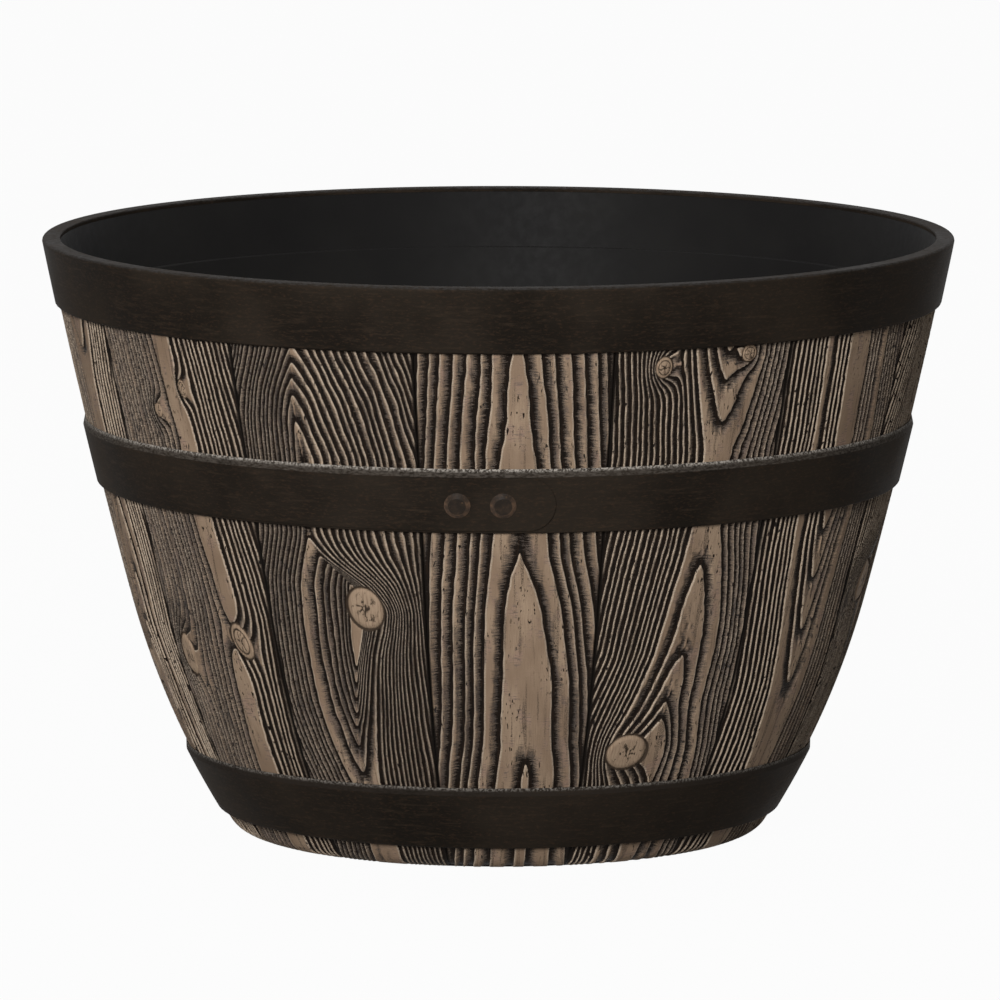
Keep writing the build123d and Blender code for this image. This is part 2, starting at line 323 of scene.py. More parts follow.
def eyeDistance(eye, across, height):
    left = smoothLine(eye["left"], 1, height)
    crest = smoothLine(eye["crest"], 1, height)
    right = smoothLine(eye["right"], 1, height)
    fromLeft = eye["steepness"] * (across - left)
    crestValue = eye["steepness"] * (crest - left)
    fromRight = crestValue * (right - across) / np.maximum(right - crest, carving["narrowestEye"])
    fan = eye["fanWidth"] * (across - right) / (eye["fanEdge"] - right)
    outside = np.maximum(left - across, fan)
    soft = eye["softness"]
    inwards = -soft * np.logaddexp(-fromLeft / soft, -fromRight / soft)
    return eye["edgeRing"] + np.where(outside > 0, outside, -inwards)


def ringNumbers(distance, firstRings, pitch, generator):
    radii = [carving["innermostRing"] * pitch]
    radii.extend(firstRings)
    while radii[-1] < carving["farthestRing"]:
        radii.append(radii[-1] + pitch * generator.uniform(*carving["pitchSpread"]))
    return np.interp(np.abs(distance), radii, np.arange(len(radii), dtype=float))


def countRings(design, generator, across, height):
    rough = roughGrain(generator, across, height)
    distance = heartDistance(design, across, height) + rough
    rings = ringNumbers(distance, design["rings"], design["pitch"], generator)
    if "eye" in design:
        eye = design["eye"]
        distance = eyeDistance(eye, across, height) + rough
        eyeRings = ringNumbers(distance, eye["rings"], design["pitch"], generator)
        rings = np.where(height < eye["below"], eyeRings, rings)
    return rings


def plankRows():
    # Outline of a plank from the flat of its foot round and up. Each row is a radius, a height,
    # the two parts of the outward direction and the height in the grain.
    rounding = barrel["footRounding"]
    centreRadius = float(wallRadius(rounding, rounding))
    lean = wallLean(rounding)
    rows = []
    arcEnd = rounding * (math.pi / 2 - lean)
    endHeight = rounding - rounding * math.sin(lean)
    for step in range(carving["footArcSteps"]):
        turn = -math.pi / 2 + (math.pi / 2 - lean) * step / carving["footArcSteps"]
        along = rounding * (turn + math.pi / 2)
        rows.append((
            centreRadius + rounding * math.cos(turn),
            rounding + rounding * math.sin(turn),
            math.cos(turn),
            math.sin(turn),
            endHeight - (arcEnd - along),
        ))
    height = endHeight
    marginBelow, marginAbove = carving["coveredMargins"]
    while height < barrel["plankTop"] - carving["topMargin"]:
        lean = wallLean(height)
        rows.append((float(wallRadius(height)), height, math.cos(lean), -math.sin(lean), height))
        covered = False
        for low, high in carving["coveredRanges"]:
            covered = covered or low + marginBelow < height < high - marginAbove
        height += carving["coarseStep"] if covered else carving["fineStep"]
    top = barrel["plankTop"]
    lean = wallLean(top)
    rows.append((float(wallRadius(top)), top, math.cos(lean), -math.sin(lean), top))
    return np.array(rows)


def backRows():
    # The plank's inner side: foot, groove for the bottom boards, wall and the step under the rim
    wall = barrel["plankThickness"]
    foot = barrel["footHeight"]
    croze = barrel["crozeTop"]
    band = barrel["rimBandBottom"]
    rows = [
        (footInnerRadius(), 0.0),
        (footInnerRadius(), foot),
        (float(wallRadius(foot, barrel["crozeInset"])), foot),
        (float(wallRadius(croze, barrel["crozeInset"])), croze),
    ]
    for height in np.linspace(croze, band, carving["backRows"]):
        rows.append((float(wallRadius(height, wall)), height))
    rows.append((float(wallRadius(band, barrel["rimInset"])), band))
    rows.append((float(wallRadius(barrel["plankTop"], barrel["rimInset"])), barrel["plankTop"]))
    return np.array(rows)


def furrow(distance, place, halfWidth):
    return np.exp(-((distance - place) / halfWidth) ** 2)


def grainGroove(rings, ringWidth):
    # 1 at the bottom of a groove and 0 on its ridge; a ring starts with a steep edge
    share = rings - np.floor(rings)
    past = share * ringWidth
    ahead = (1 - share) * ringWidth
    edge = carving["edgeWidth"]
    edgeDepth = carving["edgeDepth"]
    unit = np.minimum(ringWidth, carving["widestRing"])
    groove = 1 - smoothStep(carving["grooveShare"], carving["riseShare"], past / unit)
    groove *= edgeDepth + (1 - edgeDepth) * smoothStep(0, edge, past)
    groove = np.maximum(groove, edgeDepth * (1 - smoothStep(0, edge, ahead)))
    return groove * smoothStep(*carving["narrowRings"], ringWidth)


def cutKnots(groove, knots):
    for distance, ringsInside in knots:
        inside = 1 - smoothStep(*knotCut["edge"], distance)
        cut = furrow(distance, *knotCut["outerFurrow"])
        if ringsInside > 1:
            cut += knotCut["innerDepth"] * furrow(distance, *knotCut["innerFurrow"])
        groove = groove * (1 - inside) + np.minimum(cut, 1) * inside
    return groove


def shownShare(heights):
    # 0 behind the hoops and at a plank's two ends, where its face stays plain
    fade = carving["coverFade"]
    shown = np.ones(len(heights))
    for low, high in carving["coveredRanges"]:
        inside = smoothStep(low, low + fade, heights)
        inside *= 1 - smoothStep(high - fade, high, heights)
        shown *= 1 - inside
    shown[0] = 0
    shown[-1] = 0
    return shown


def carvedDepth(rings, ringWidth, sideGap, rows, knots):
    depth = carving["depth"] * cutKnots(grainGroove(rings, ringWidth), knots)
    seam = carving["seamDepth"] * (1 - smoothStep(0, carving["seamWidth"], sideGap))
    return np.maximum(depth, seam) * shownShare(rows[:, 1])[:, None]


def knotFields(design, across, height):
    # Each point's place in the nearest knot, with a third part of 1 where that knot has an inner
    # ring, and the distances to every knot
    place = np.full(across.shape + (3,), carving["farKnot"])
    place[..., 2] = 0.0
    nearest = np.full(across.shape, carving["farKnot"])
    distances = []
    for knot in design["knots"]:
        placeX, placeY = knotDistance(knot, across, height)
        distance = np.hypot(placeX, placeY)
        distances.append((distance, knot["rings"]))
        closer = distance < nearest
        nearest = np.where(closer, distance, nearest)
        inner = np.full(across.shape, knot["rings"] - 1.0)
        here = np.stack((placeX, placeY, inner), axis=-1)
        place = np.where(closer[..., None], here, place)
    return place, distances


def ringWidths(rings, across, height):
    # Millimetres from one ring to the next along the face
    acrossStep = np.gradient(across, axis=1)
    perAcross = np.gradient(rings, axis=1) / acrossStep
    heightStep = np.gradient(height, axis=0)
    slant = np.gradient(across, axis=0) / heightStep
    perHeight = np.gradient(rings, axis=0) / heightStep - perAcross * slant
    return 1 / np.maximum(np.hypot(perAcross, perHeight), carving["leastRingSlope"])


def ringPoints(radius, height, turns):
    radius = np.asarray(radius)
    height = np.broadcast_to(np.asarray(height), radius.shape)
    points = np.stack((radius * np.sin(turns), -radius * np.cos(turns), height), axis=-1)
    return points.reshape(-1, 3) * millimetre


def gridFaces(rowCount, columnCount, first, outwards):
    row, column = np.meshgrid(np.arange(rowCount - 1), np.arange(columnCount - 1), indexing="ij")
    corner = (first + row * columnCount + column).reshape(-1)
    around = (corner, corner + 1, corner + columnCount + 1, corner + columnCount)
    if not outwards:
        around = around[::-1]
    return np.stack(around, axis=1).tolist()


def setAttribute(mesh, name, kind, frontValues, backValue):
    # A plank's inner side comes after its carved face and has one value all over
    attribute = mesh.attributes.new(name, kind, "POINT")
    isVector = kind == "FLOAT_VECTOR"
    front = frontValues.reshape(-1, 3 if isVector else 1)
    back = np.tile(backValue, (len(mesh.vertices) - len(front), 1))
    values = np.concatenate((front, back)).astype(np.float32)
    attribute.data.foreach_set("vector" if isVector else "value", values.reshape(-1))


def plankFaces(rowCount, backCount):
    columns = carving["columns"]
    backColumns = carving["backColumns"]
    first = rowCount * columns
    front = np.arange(first).reshape(rowCount, columns)
    back = first + np.arange(backCount * backColumns).reshape(backCount, backColumns)
    faces = gridFaces(rowCount, columns, 0, True)
    faces += gridFaces(backCount, backColumns, first, False)
    faces.append(list(front[:, 0]) + list(back[::-1, 0]))
    faces.append(list(back[:, -1]) + list(front[::-1, -1]))
    faces.append(list(front[-1]) + list(back[-1, ::-1]))
    faces.append(list(front[0, ::-1]) + list(back[0]))
    return [[int(index) for index in face] for face in faces]


def addPlank(name, mesh):
    plank = bpy.data.objects.new(name, mesh)
    bpy.context.scene.collection.objects.link(plank)
    bpy.context.view_layer.objects.active = plank
    plank.select_set(True)
    bpy.ops.object.shade_smooth_by_angle(angle=math.radians(carving["sharpAngle"]))
    plank.select_set(False)
    return plank


def carvePlank(number):
    name, side, shift = plankOrder[number]
    design = plankDesigns[name]
    generator = np.random.default_rng(carving["firstSeed"] + number)
    rows = plankRows()
    inner = backRows()
    pitch = 2 * math.pi / barrel["plankCount"]
    halfTurn = (pitch - barrel["jointGap"] / footInnerRadius()) / 2
    middleTurn = math.radians(barrel["frontTurn"]) + number * pitch
    share = np.linspace(-1, 1, carving["columns"])[None, :]
    across = rows[:, :1] * halfTurn * share
    height = np.repeat(rows[:, 4:5], carving["columns"], axis=1)
    sideGap = rows[:, :1] * halfTurn * (1 - np.abs(share))
    rings = countRings(design, generator, across * side, height + shift)
    ringWidth = ringWidths(rings, across, height)
    knotPlace, knotDistances = knotFields(design, across * side, height + shift)
    depth = carvedDepth(rings, ringWidth, sideGap, rows, knotDistances)
    radius = rows[:, :1] - depth * rows[:, 2:3]
    lifted = rows[:, 1:2] - depth * rows[:, 3:4]
    front = ringPoints(radius, lifted, middleTurn + halfTurn * share)
    backShare = np.linspace(-1, 1, carving["backColumns"])[None, :]
    backRadius = np.repeat(inner[:, :1], carving["backColumns"], axis=1)
    back = ringPoints(backRadius, inner[:, 1:2], middleTurn + halfTurn * backShare)
    mesh = bpy.data.meshes.new(f"carvedPlank{number + 1:02d}")
    points = np.concatenate((front, back)).tolist()
    mesh.from_pydata(points, [], plankFaces(len(rows), len(inner)))
    farKnot = carving["farKnot"]
    ownNoise = np.full(across.shape, noiseStep * number)
    plankPlace = np.stack((across, height, ownNoise), axis=-1)
    setAttribute(mesh, "ringCount", "FLOAT", rings, 0.0)
    setAttribute(mesh, "ringWidth", "FLOAT", ringWidth, plainRingWidth)
    setAttribute(mesh, "sideGap", "FLOAT", sideGap, 0.0)
    setAttribute(mesh, "knotPlace", "FLOAT_VECTOR", knotPlace, (farKnot, farKnot, 0.0))
    setAttribute(mesh, "plankPlace", "FLOAT_VECTOR", plankPlace, (0.0, 0.0, 0.0))
    mesh.update()
    return addPlank(f"carved_plank_{number + 1:02d}", mesh)


# Material helpers

def newMaterial(name):
    material = bpy.data.materials.new(name)
    material.use_nodes = True
    tree = material.node_tree
    tree.nodes.clear()
    output = tree.nodes.new("ShaderNodeOutputMaterial")
    shader = tree.nodes.new("ShaderNodeBsdfPrincipled")
    tree.links.new(shader.outputs["BSDF"], output.inputs["Surface"])
    return material, tree, shader


def feed(tree, socket, value):
    if isinstance(value, bpy.types.NodeSocket):
        tree.links.new(value, socket)
    elif isinstance(value, tuple) and len(value) == 3 and socket.type == "RGBA":
        socket.default_value = (*value, 1.0)
    else:
        socket.default_value = value


def colour(red, green, blue):
    # A colour as it is read off a screen, 0 to 255, made linear
    values = []
    for part in (red, green, blue):
        part /= 255
        values.append(part / 12.92 if part <= 0.04045 else ((part + 0.055) / 1.055) ** 2.4)
    return tuple(values)


def calculate(tree, operation, first, second=0.0, third=0.0):
    node = tree.nodes.new("ShaderNodeMath")
    node.operation = operation
    feed(tree, node.inputs[0], first)
    feed(tree, node.inputs[1], second)
    feed(tree, node.inputs[2], third)
    return node.outputs[0]


def multiply(tree, first, second):
    return calculate(tree, "MULTIPLY", first, second)


def addProduct(tree, first, second, start):
    return calculate(tree, "MULTIPLY_ADD", first, second, start)


def offset(tree, noise, amount, value):
    # The value moved up and down by a noise, whose middle is a half
    return addProduct(tree, calculate(tree, "SUBTRACT", noise, 0.5), amount, value)


def rangeMask(tree, value, low, high, fromValue=0.0, toValue=1.0):
    node = tree.nodes.new("ShaderNodeMapRange")
    node.interpolation_type = "SMOOTHSTEP"
    feed(tree, node.inputs["Value"], value)
    feed(tree, node.inputs["From Min"], low)
    feed(tree, node.inputs["From Max"], high)
    feed(tree, node.inputs["To Min"], fromValue)
    feed(tree, node.inputs["To Max"], toValue)
    return node.outputs[0]


def fallingMask(tree, value, low, high):
    # 1 below the range and 0 above it
    return rangeMask(tree, value, low, high, 1.0, 0.0)


def mixColours(tree, share, first, second):
    node = tree.nodes.new("ShaderNodeMix")
    node.data_type = "RGBA"
    feed(tree, node.inputs["Factor"], share)
    feed(tree, node.inputs["A"], first)
    feed(tree, node.inputs["B"], second)
    return node.outputs["Result"]


def stretched(tree, place, scale):
    node = tree.nodes.new("ShaderNodeVectorMath")
    node.operation = "MULTIPLY"
    feed(tree, node.inputs[0], place)
    feed(tree, node.inputs[1], scale)
    return node.outputs[0]


def grainNoise(tree, place, squeeze, scale, detail, roughness):
    # The pattern is drawn out in the directions whose squeeze is less than 1
    node = tree.nodes.new("ShaderNodeTexNoise")
    feed(tree, node.inputs["Vector"], stretched(tree, place, squeeze))
    feed(tree, node.inputs["Scale"], scale)
    feed(tree, node.inputs["Detail"], detail)
    feed(tree, node.inputs["Roughness"], roughness)
    return node.outputs[0]


def readAttribute(tree, name):
    node = tree.nodes.new("ShaderNodeAttribute")
    node.attribute_name = name
    return node


def surfaceBump(tree, shader, height, strength, distance):
    node = tree.nodes.new("ShaderNodeBump")
    feed(tree, node.inputs["Strength"], strength)
    feed(tree, node.inputs["Distance"], distance)
    feed(tree, node.inputs["Height"], height)
    tree.links.new(node.outputs[0], shader.inputs["Normal"])


def dressShader(tree, shader, face, roughness, shine):
    feed(tree, shader.inputs["Base Color"], face)
    feed(tree, shader.inputs["Roughness"], roughness)
    shader.inputs["Specular IOR Level"].default_value = shine


# In the settings below a noise is a squeeze, a scale, a detail and a roughness. A mask is the
# range over which it rises from 0 to 1, or falls from 1 to 0 in fallingMask. Two more numbers
# take the place of that 0 and 1. A bump is a strength and a distance in metres.

evenly = (1.0, 1.0, 1.0)


# Carved planks: tan ridges with a painted highlight along their crests, blackened grooves, brushed paint
# with painted shade and sheen on the slopes between them

plankPaint = {
    "tan": colour(168, 145, 122),
    "paleTanHighlight": colour(198, 181, 161),
    "brownTan": colour(140, 118, 98),
    "pinkTan": colour(160, 132, 117),
    "groove": colour(19, 15, 12),
    "grooveBrown": colour(38, 28, 21),
    "washAndSheen": colour(84, 80, 78),
    "darkWashAndShade": colour(50, 44, 40),
    "crack": colour(24, 17, 13),
}

# The noises the paint is made of: along the grain, across it, in dots and in wide clouds
plankNoises = {
    "fibre": ((1.0, 0.07, 1.0), 1.3, 4.0, 0.6),
    "hatch": ((0.12, 1.0, 1.0), 1.25, 4.0, 0.75),
    "fine": (evenly, 2.2, 3.0, 0.65),
    "broad": ((1.0, 0.4, 1.0), 0.045, 3.0, 0.5),
    "patch": ((1.0, 0.55, 1.0), 0.11, 3.0, 0.6),
    "pores": ((1.0, 0.3, 1.0), 0.7, 2.0, 0.5),
    "streaks": ((1.0, 0.06, 1.0), 0.28, 2.0, 0.5),
}

# Masks made from one of the noises
noiseMasks = {
    "tan": ("broad", 0.35, 0.65),
    "pink": ("patch", 0.5, 0.7, 0.0, 0.6),
    "brown": ("fibre", 0.42, 0.75, 0.0, 0.8),
    "highlightSpots": ("fine", 0.36, 0.6),
    "brushing": ("hatch", 0.5, 0.6),
    "brushedPatches": ("patch", 0.52, 0.6),
    "streaks": ("streaks", 0.55, 0.63),
    "streakSpots": ("fine", 0.45, 0.56),
    "pores": ("pores", 0.62, 0.66),
    "poreClouds": ("broad", 0.44, 0.54),
    "slopeShadeAndSheenTone": ("fine", 0.4, 0.6),
    "grooveTone": ("fibre", 0.4, 0.7),
    "grooveHatch": ("hatch", 0.56, 0.7, 0.0, 0.7),
    "knotTone": ("fibre", 0.4, 0.7),
    "spokeGaps": ("pores", 0.42, 0.5),
}

# Masks made from a place on the face: on its ring, beside the seam or in a knot
placeMasks = {
    "ridgeHighlightEdge": (0.4, 1.3),
    "groove": (0.38, 0.54),
    "washAndSheen": (0.54, 0.92),
    "seam": (0.5, 1.9),
    "onKnot": (0.99, 1.04),
    "outerRing": (0.84, 0.94),
    "innerRingStart": (0.55, 0.62),
    "innerRingEnd": (0.64, 0.72),
    "spokeWidth": (0.09, 0.2),
    "spokeReach": (0.6, 0.85),
}

plankAmounts = {
    "raggedRings": 0.7,
    "brushing": 0.6,
    "streaks": 0.85,
    "washAndSheen": 0.75,
    "narrowRings": 0.26,
    "hatchedEdge": 1.6,
    "fineEdge": 0.6,
    "raggedKnot": 0.14,
    "bentSpokes": 5.0,
    "raggedSpokes": 1.2,
    "spokeTurns": 2.5,
    "knotMarks": 0.9,
    "fibreRelief": 0.7,
    "hatchRelief": 0.8,
    "fineRelief": 0.45,
    "ridgeAndGrooveRoughness": (0.66, 0.55),
    "shine": 0.05,
    "bump": (0.6, 0.0006),
}


def ringPlaces(tree, strokes):
    # How far a point is past the last ring, as a share, how many millimetres before the next,
    # and how wide the ring is next to the widest
    rings = readAttribute(tree, "ringCount").outputs["Fac"]
    width = readAttribute(tree, "ringWidth").outputs["Fac"]
    ragged = calculate(tree, "DIVIDE", calculate(tree, "SUBTRACT", strokes["fine"], 0.5), width)
    share = calculate(tree, "FRACT", addProduct(tree, ragged, plankAmounts["raggedRings"], rings))
    unit = calculate(tree, "MINIMUM", width, carving["widestRing"])
    past = calculate(tree, "DIVIDE", multiply(tree, share, width), unit)
    ahead = multiply(tree, calculate(tree, "SUBTRACT", 1.0, share), width)
    wide = calculate(tree, "DIVIDE", unit, carving["widestRing"])
    return past, ahead, wide


def tanShades(tree, masks, ahead):
    paint = plankPaint
    tan = mixColours(tree, masks["tan"], paint["brownTan"], paint["tan"])
    tan = mixColours(tree, masks["pink"], tan, paint["pinkTan"])
    tan = mixColours(tree, masks["brown"], tan, paint["brownTan"])
    # Pale tan along each ridge's crest edge: dry-brushed paint with a painted highlight
    paintedHighlight = multiply(tree, fallingMask(tree, ahead, *placeMasks["ridgeHighlightEdge"]), masks["highlightSpots"])
    tan = mixColours(tree, paintedHighlight, tan, paint["paleTanHighlight"])
    brushed = multiply(tree, masks["brushing"], masks["brushedPatches"])
    tan = mixColours(tree, multiply(tree, brushed, plankAmounts["brushing"]), tan, paint["washAndSheen"])
    streaked = multiply(tree, masks["streaks"], masks["streakSpots"])
    tan = mixColours(tree, multiply(tree, streaked, plankAmounts["streaks"]), tan, paint["darkWashAndShade"])
    dots = multiply(tree, masks["pores"], masks["poreClouds"])
    return mixColours(tree, dots, tan, paint["crack"])


def grooveShades(tree, strokes, masks, past, wide, tan):
    # Dark paint in the grooves, washed out towards the ridges: the slopes carry painted shade and a
    # painted grey sheen. The dark paint fills more of a narrow ring.
    paint = plankPaint
    narrow = calculate(tree, "SUBTRACT", wide, 1.0)
    rise = addProduct(tree, narrow, plankAmounts["narrowRings"], past)
    rise = offset(tree, strokes["hatch"], multiply(tree, wide, plankAmounts["hatchedEdge"]), rise)
    rise = offset(tree, strokes["fine"], plankAmounts["fineEdge"], rise)
    groove = fallingMask(tree, rise, *placeMasks["groove"])
    # Painted shade and a painted sheen on each slope up from a groove, as dark and grey tones mixed into
    # the tan
    slopeShadeAndSheen = fallingMask(tree, rise, *placeMasks["washAndSheen"])
    slopeShadeAndSheenTone = mixColours(tree, masks["slopeShadeAndSheenTone"], paint["darkWashAndShade"], paint["washAndSheen"])
    dark = mixColours(tree, masks["grooveTone"], paint["groove"], paint["grooveBrown"])
    dark = mixColours(tree, masks["grooveHatch"], dark, paint["darkWashAndShade"])
    face = mixColours(tree, multiply(tree, slopeShadeAndSheen, plankAmounts["washAndSheen"]), tan, slopeShadeAndSheenTone)
    return mixColours(tree, groove, face, dark), groove


def knotParts(tree, strokes, masks):
    # Where the nearest knot is, and the dark marks on it: its rings and a star of cracks
    split = tree.nodes.new("ShaderNodeSeparateXYZ")
    tree.links.new(readAttribute(tree, "knotPlace").outputs["Vector"], split.inputs[0])
    across, upwards, hasInnerRing = split.outputs
    squares = addProduct(tree, across, across, multiply(tree, upwards, upwards))
    distance = calculate(tree, "SQRT", squares)
    distance = offset(tree, strokes["fine"], plankAmounts["raggedKnot"], distance)
    outerRing = rangeMask(tree, distance, *placeMasks["outerRing"])
    ringStart = rangeMask(tree, distance, *placeMasks["innerRingStart"])
    ringEnd = fallingMask(tree, distance, *placeMasks["innerRingEnd"])
    innerRing = multiply(tree, multiply(tree, ringStart, ringEnd), hasInnerRing)
    angle = calculate(tree, "ARCTAN2", upwards, across)
    angle = offset(tree, strokes["patch"], plankAmounts["bentSpokes"], angle)
    angle = offset(tree, strokes["fine"], plankAmounts["raggedSpokes"], angle)
    wave = calculate(tree, "SINE", multiply(tree, angle, plankAmounts["spokeTurns"]))
    spokes = multiply(tree, calculate(tree, "ABSOLUTE", wave), distance)
    thin = fallingMask(tree, spokes, *placeMasks["spokeWidth"])
    near = fallingMask(tree, distance, *placeMasks["spokeReach"])
    star = multiply(tree, multiply(tree, thin, near), masks["spokeGaps"])
    marks = calculate(tree, "MAXIMUM", calculate(tree, "MAXIMUM", outerRing, innerRing), star)
    onKnot = fallingMask(tree, distance, *placeMasks["onKnot"])
    return onKnot, multiply(tree, marks, plankAmounts["knotMarks"])


def plankMaterial():
    material, tree, shader = newMaterial("carvedOakResin")
    paint = plankPaint
    place = readAttribute(tree, "plankPlace").outputs["Vector"]
    sideGap = readAttribute(tree, "sideGap").outputs["Fac"]
    strokes = {name: grainNoise(tree, place, *noise) for name, noise in plankNoises.items()}
    masks = {}
    for name, (noise, *limits) in noiseMasks.items():
        masks[name] = rangeMask(tree, strokes[noise], *limits)
    past, ahead, wide = ringPlaces(tree, strokes)
    tan = tanShades(tree, masks, ahead)
    face, groove = grooveShades(tree, strokes, masks, past, wide, tan)
    onKnot, knotMarks = knotParts(tree, strokes, masks)
    knotTone = mixColours(tree, masks["knotTone"], paint["tan"], paint["brownTan"])
    face = mixColours(tree, onKnot, face, mixColours(tree, knotMarks, knotTone, paint["crack"]))
    face = mixColours(tree, fallingMask(tree, sideGap, *placeMasks["seam"]), face, paint["groove"])
    roughness = rangeMask(tree, groove, 0.0, 1.0, *plankAmounts["ridgeAndGrooveRoughness"])
    dressShader(tree, shader, face, roughness, plankAmounts["shine"])
    relief = multiply(tree, strokes["fibre"], plankAmounts["fibreRelief"])
    relief = addProduct(tree, strokes["hatch"], plankAmounts["hatchRelief"], relief)
    relief = addProduct(tree, strokes["fine"], plankAmounts["fineRelief"], relief)
    surfaceBump(tree, shader, relief, *plankAmounts["bump"])
    return material


# Hoops: dark straps with rusty specks, a lighter upper bevel of worn paint with a painted highlight, and
# a gritty upper edge

strapFinish = {
    "dark": colour(29, 25, 21),
    "face": colour(44, 38, 32),
    "brown": colour(58, 48, 39),
    "rust": colour(74, 56, 43),
    "worn": colour(196, 188, 178),
    "streak": ((1.0, 1.0, 9.0), 60.0, 4.0, 0.6),
    "speckle": ((1.0, 1.0, 3.0), 340.0, 4.0, 0.7),
    "cloud": (evenly, 14.0, 3.0, 0.5),
    "gritNoise": (evenly, 800.0, 3.0, 0.7),
    "faceMask": (0.35, 0.65),
    "brownMask": (0.5, 0.75, 0.0, 0.5),
    "rustMask": (0.5, 0.7, 0.0, 0.35),
    "bevelMask": (0.35, 0.65),
    "gritMask": (0.42, 0.62, 0.0),
    "bevelFade": 0.0004,
    "edgeBelowTop": (0.0024, 0.0003),
    "roughness": (0.3, 0.7, 0.6, 0.74),
    "shine": 0.02,
    "speckleRelief": 0.4,
    "bump": (0.35, 0.0004),
}

# Heights in metres where the lighter bevel starts and the gritty edge ends, how gritty that edge is, and
# the bevel's colour: worn paint with a painted highlight on the hoops, a painted highlight along the rim
# band's top
hoopEdges = {
    "middle_hoop": (0.2330, 0.2375, 0.75, colour(78, 72, 66)),
    "bottom_hoop": (0.0460, 0.0505, 0.35, colour(42, 37, 33)),
    "rim_band": (0.3392, 0.3460, 0.1, colour(56, 54, 53)),
}


def objectPlace(tree):
    return tree.nodes.new("ShaderNodeTexCoord").outputs["Object"]


def strapMaterial(name, bevelBottom, top, grittiness, bevelWearAndHighlight):
    material, tree, shader = newMaterial(name)
    finish = strapFinish
    place = objectPlace(tree)
    split = tree.nodes.new("ShaderNodeSeparateXYZ")
    tree.links.new(place, split.inputs[0])
    height = split.outputs[2]
    streak = grainNoise(tree, place, *finish["streak"])
    speckle = grainNoise(tree, place, *finish["speckle"])
    cloud = grainNoise(tree, place, *finish["cloud"])
    face = mixColours(tree, rangeMask(tree, cloud, *finish["faceMask"]), finish["dark"], finish["face"])
    face = mixColours(tree, rangeMask(tree, streak, *finish["brownMask"]), face, finish["brown"])
    face = mixColours(tree, rangeMask(tree, speckle, *finish["rustMask"]), face, finish["rust"])
    # The upper bevel is painted lighter: a painted highlight where it faces the lamps above, over worn
    # paint
    fade = finish["bevelFade"]
    onBevel = rangeMask(tree, height, bevelBottom - fade, bevelBottom + fade)
    bevelWearAndHighlightTone = mixColours(tree, rangeMask(tree, speckle, *finish["bevelMask"]), face, bevelWearAndHighlight)
    face = mixColours(tree, onBevel, face, bevelWearAndHighlightTone)
    edgeStart, edgeFull = finish["edgeBelowTop"]
    edge = rangeMask(tree, height, top - edgeStart, top - edgeFull)
    gritNoise = grainNoise(tree, place, *finish["gritNoise"])
    grit = rangeMask(tree, gritNoise, *finish["gritMask"], grittiness)
    face = mixColours(tree, multiply(tree, edge, grit), face, finish["worn"])
    roughness = rangeMask(tree, cloud, *finish["roughness"])
    dressShader(tree, shader, face, roughness, finish["shine"])
    relief = addProduct(tree, speckle, finish["speckleRelief"], streak)
    surfaceBump(tree, shader, relief, *finish["bump"])
    return material


# Rivets: a dark crown in a browner ring

rivetFinish = {
    "ringDark": colour(58, 47, 39),
    "ringLight": colour(92, 72, 57),
    "crownDark": colour(34, 28, 23),
    "crownLight": colour(50, 40, 32),
    "rust": colour(102, 78, 58),
    "speckle": (evenly, 600.0, 3.0, 0.6),
    "blotch": (evenly, 240.0, 3.0, 0.6),
    "crownMask": (0.8, 0.95),
    "ringLightMask": (0.4, 0.65),
    "crownLightMask": (0.4, 0.7),
    "rustMask": (0.6, 0.75, 0.0, 0.5),
    "roughness": (0.3, 0.7, 0.42, 0.58),
    "shine": 0.1,
    "bump": (0.35, 0.0003),
}


def outwardFacing(tree, place):
    # 1 where the surface faces straight away from the barrel's axis
    outwards = tree.nodes.new("ShaderNodeVectorMath")
    outwards.operation = "NORMALIZE"
    tree.links.new(stretched(tree, place, (1.0, 1.0, 0.0)), outwards.inputs[0])
    facing = tree.nodes.new("ShaderNodeVectorMath")
    facing.operation = "DOT_PRODUCT"
    tree.links.new(outwards.outputs[0], facing.inputs[0])
    tree.links.new(tree.nodes.new("ShaderNodeNewGeometry").outputs["Normal"], facing.inputs[1])
    return facing.outputs["Value"]


def rivetMaterial():
    material, tree, shader = newMaterial("rivetResin")
    finish = rivetFinish
    place = objectPlace(tree)
    crown = rangeMask(tree, outwardFacing(tree, place), *finish["crownMask"])
    speckle = grainNoise(tree, place, *finish["speckle"])
    blotch = grainNoise(tree, place, *finish["blotch"])
    ringLight = rangeMask(tree, blotch, *finish["ringLightMask"])
    ring = mixColours(tree, ringLight, finish["ringDark"], finish["ringLight"])
    crownLight = rangeMask(tree, blotch, *finish["crownLightMask"])
    top = mixColours(tree, crownLight, finish["crownDark"], finish["crownLight"])
    face = mixColours(tree, crown, ring, top)
    face = mixColours(tree, rangeMask(tree, speckle, *finish["rustMask"]), face, finish["rust"])
    roughness = rangeMask(tree, blotch, *finish["roughness"])
    dressShader(tree, shader, face, roughness, finish["shine"])
    surfaceBump(tree, shader, calculate(tree, "ADD", speckle, blotch), *finish["bump"])
    return material


# Tub and plugs: smooth dark plastic with a little dust

plasticFinish = {
    "dust": colour(46, 43, 40),
    "cloudNoise": (evenly, 9.0, 3.0, 0.55),
    "dustNoise": (evenly, 160.0, 4.0, 0.65),
    "lightMask": (0.35, 0.68),
    "dustMask": (0.55, 0.8, 0.0, 0.1),
    "roughMask": (0.3, 0.7),
    "shine": 0.06,
    "bump": (0.15, 0.0002),
}

tubFinish = {
    "dark": colour(23, 22, 22),
    "light": colour(30, 29, 28),
    "roughness": (0.5, 0.58),
    "grain": (evenly, 240.0, 3.0, 0.6),
}

